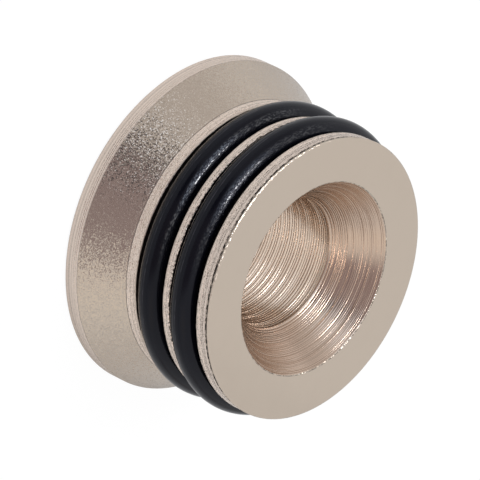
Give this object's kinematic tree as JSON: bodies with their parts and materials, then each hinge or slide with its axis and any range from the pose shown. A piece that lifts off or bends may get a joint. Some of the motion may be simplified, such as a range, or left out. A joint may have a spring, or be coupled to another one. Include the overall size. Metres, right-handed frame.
{
  "type": "manifold adapter",
  "caption": "Turned, nickel-plated adapter ring for a heating manifold: coned flange, coned bore and a spigot that carries O-rings.",
  "frame": {"origin": "centre of the flange's flat back face", "axes": "+Z along the bore axis, from the flange's back face to the nose of the spigot; X and Y are any two directions across it"},
  "size_m": [0.0295, 0.0294, 0.0148],
  "materials": {
    "adapter_body": "satin nickel plate on turned brass",
    "o_rings": "satin black rubber"
  },
  "bodies": {
    "root": {"adapter_body": "adapter_body", "rear_o_ring": "o_rings", "front_o_ring": "o_rings"}
  },
  "joints": []
}
